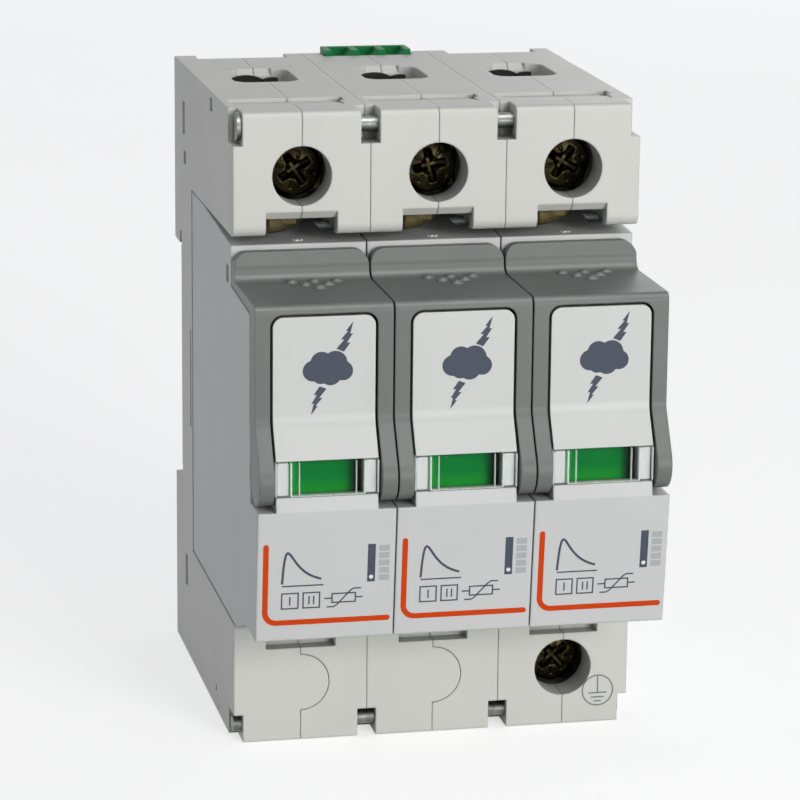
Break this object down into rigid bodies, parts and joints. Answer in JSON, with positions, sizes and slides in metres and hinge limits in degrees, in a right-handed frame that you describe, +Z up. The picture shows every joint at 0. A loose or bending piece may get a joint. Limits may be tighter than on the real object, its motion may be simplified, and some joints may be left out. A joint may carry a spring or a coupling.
{
  "type": "surge protective device",
  "caption": "Modular rail-mounted surge protector: pole housings with plug-in cartridges, swinging grey handles, status windows, screw terminals and a signalling plug.",
  "frame": {"origin": "on the plane where the housing seats on the rail, at the rail's centre line and the middle of the poles", "axes": "+X across the poles to the right, -Y to the user, +Z up along the device's height"},
  "size_m": [0.0534, 0.0699, 0.0844],
  "materials": {
    "housing_plastic": "matte pale grey",
    "cartridge_plastic": "matte pale grey",
    "handle_plastic": "matte mid grey",
    "label_plastic": "satin white",
    "clear_plastic": "clear moulded plastic",
    "green_plastic": "green",
    "signal_green": "green",
    "varistor_coating": "epoxy coating",
    "screw_steel": "dark bronze plated",
    "cage_steel": "zinc plated",
    "contact_brass": "plain",
    "blade_copper": "tinned",
    "rod_steel": "bright zinc",
    "spring_steel": "plain",
    "latch_plastic": "matte dark grey"
  },
  "bodies": {
    "housing": {"pole_1_left_shell": "housing_plastic", "pole_1_right_shell": "housing_plastic", "line_1_contact": "contact_brass", "pole_2_left_shell": "housing_plastic", "pole_2_right_shell": "housing_plastic", "line_2_contact": "contact_brass", "pole_3_left_shell": "housing_plastic", "pole_3_right_shell": "housing_plastic", "line_3_contact": "contact_brass", "latch_spring_1": "spring_steel", "latch_spring_3": "spring_steel", "earth_bar": "contact_brass", "upper_tie_rod": "rod_steel", "lower_tie_rod": "rod_steel", "signal_socket": "signal_green"},
    "line_screw_1": {"line_1_screw": "screw_steel"},
    "line_cage_1": {"line_1_cage": "cage_steel"},
    "cartridge_1": {"cartridge_1_shell": "cartridge_plastic", "cartridge_1_cover": "cartridge_plastic", "cartridge_1_label_panel": "label_plastic", "cartridge_1_lens": "clear_plastic", "cartridge_1_varistor": "varistor_coating", "cartridge_1_line_blade": "blade_copper", "cartridge_1_earth_blade": "blade_copper"},
    "status_drum_1": {"cartridge_1_drum": "green_plastic"},
    "handle_1": {"cartridge_1_handle": "handle_plastic"},
    "line_screw_2": {"line_2_screw": "screw_steel"},
    "line_cage_2": {"line_2_cage": "cage_steel"},
    "cartridge_2": {"cartridge_2_shell": "cartridge_plastic", "cartridge_2_cover": "cartridge_plastic", "cartridge_2_label_panel": "label_plastic", "cartridge_2_lens": "clear_plastic", "cartridge_2_varistor": "varistor_coating", "cartridge_2_line_blade": "blade_copper", "cartridge_2_earth_blade": "blade_copper"},
    "status_drum_2": {"cartridge_2_drum": "green_plastic"},
    "handle_2": {"cartridge_2_handle": "handle_plastic"},
    "line_screw_3": {"line_3_screw": "screw_steel"},
    "line_cage_3": {"line_3_cage": "cage_steel"},
    "cartridge_3": {"cartridge_3_shell": "cartridge_plastic", "cartridge_3_cover": "cartridge_plastic", "cartridge_3_label_panel": "label_plastic", "cartridge_3_lens": "clear_plastic", "cartridge_3_varistor": "varistor_coating", "cartridge_3_line_blade": "blade_copper", "cartridge_3_earth_blade": "blade_copper"},
    "status_drum_3": {"cartridge_3_drum": "green_plastic"},
    "handle_3": {"cartridge_3_handle": "handle_plastic"},
    "rail_latch_1": {"rail_latch_1": "latch_plastic"},
    "rail_latch_3": {"rail_latch_3": "latch_plastic"},
    "earth_screw": {"earth_screw": "screw_steel"},
    "earth_cage": {"earth_cage": "cage_steel"},
    "signal_plug": {"signal_plug": "signal_green"}
  },
  "joints": [
    {"name": "cartridge_1_pull", "type": "slide", "parent": "housing", "child": "cartridge_1", "axis": [0, -1, 0], "range_m": [0, 0.045]},
    {"name": "handle_1_swing", "type": "hinge", "parent": "cartridge_1", "child": "handle_1", "pos_m": [-0.0178, -0.05965, -0.0022], "axis": [1, 0, 0], "range_deg": [0, 90]},
    {"name": "status_drum_1_turn", "type": "hinge", "parent": "cartridge_1", "child": "status_drum_1", "pos_m": [-0.0178, -0.05695, -0.00193], "axis": [1, 0, 0], "range_deg": [0, 90]},
    {"name": "line_screw_1_turn", "type": "hinge", "parent": "housing", "child": "line_screw_1", "pos_m": [-0.0178, -0.035, 0.0331], "axis": [0, 1, 0], "range_deg": [0, 3600]},
    {"name": "line_cage_1_clamp", "type": "slide", "parent": "housing", "child": "line_cage_1", "axis": [0, -1, 0], "range_m": [0, 0.008]},
    {"name": "cartridge_2_pull", "type": "slide", "parent": "housing", "child": "cartridge_2", "axis": [0, -1, 0], "range_m": [0, 0.045]},
    {"name": "handle_2_swing", "type": "hinge", "parent": "cartridge_2", "child": "handle_2", "pos_m": [0, -0.05965, -0.0022], "axis": [1, 0, 0], "range_deg": [0, 90]},
    {"name": "status_drum_2_turn", "type": "hinge", "parent": "cartridge_2", "child": "status_drum_2", "pos_m": [0, -0.05695, -0.00193], "axis": [1, 0, 0], "range_deg": [0, 90]},
    {"name": "line_screw_2_turn", "type": "hinge", "parent": "housing", "child": "line_screw_2", "pos_m": [0, -0.035, 0.0331], "axis": [0, 1, 0], "range_deg": [0, 3600]},
    {"name": "line_cage_2_clamp", "type": "slide", "parent": "housing", "child": "line_cage_2", "axis": [0, -1, 0], "range_m": [0, 0.008]},
    {"name": "cartridge_3_pull", "type": "slide", "parent": "housing", "child": "cartridge_3", "axis": [0, -1, 0], "range_m": [0, 0.045]},
    {"name": "handle_3_swing", "type": "hinge", "parent": "cartridge_3", "child": "handle_3", "pos_m": [0.0178, -0.05965, -0.0022], "axis": [1, 0, 0], "range_deg": [0, 90]},
    {"name": "status_drum_3_turn", "type": "hinge", "parent": "cartridge_3", "child": "status_drum_3", "pos_m": [0.0178, -0.05695, -0.00193], "axis": [1, 0, 0], "range_deg": [0, 90]},
    {"name": "line_screw_3_turn", "type": "hinge", "parent": "housing", "child": "line_screw_3", "pos_m": [0.0178, -0.035, 0.0331], "axis": [0, 1, 0], "range_deg": [0, 3600]},
    {"name": "line_cage_3_clamp", "type": "slide", "parent": "housing", "child": "line_cage_3", "axis": [0, -1, 0], "range_m": [0, 0.008]},
    {"name": "earth_screw_turn", "type": "hinge", "parent": "housing", "child": "earth_screw", "pos_m": [0.0178, -0.035, -0.03446], "axis": [0, 1, 0], "range_deg": [0, 3600]},
    {"name": "earth_cage_clamp", "type": "slide", "parent": "housing", "child": "earth_cage", "axis": [0, -1, 0], "range_m": [0, 0.008]},
    {"name": "rail_latch_1_slide", "type": "slide", "parent": "housing", "child": "rail_latch_1", "axis": [0, 0, -1], "range_m": [0, 0.0035], "stiffness_N_per_m": 1500, "springref_m": -0.003, "deforming": ["latch_spring_1"]},
    {"name": "rail_latch_3_slide", "type": "slide", "parent": "housing", "child": "rail_latch_3", "axis": [0, 0, -1], "range_m": [0, 0.0035], "stiffness_N_per_m": 1500, "springref_m": -0.003, "deforming": ["latch_spring_3"]},
    {"name": "signal_plug_pull", "type": "slide", "parent": "housing", "child": "signal_plug", "axis": [0, 0, 1], "range_m": [0, 0.012]}
  ],
  "couplings": [
    {"joint": "line_screw_1_turn", "follows": "line_cage_1_clamp", "rad_per_m": 7854},
    {"joint": "line_screw_2_turn", "follows": "line_cage_2_clamp", "rad_per_m": 7854},
    {"joint": "line_screw_3_turn", "follows": "line_cage_3_clamp", "rad_per_m": 7854},
    {"joint": "earth_screw_turn", "follows": "earth_cage_clamp", "rad_per_m": 7854}
  ]
}
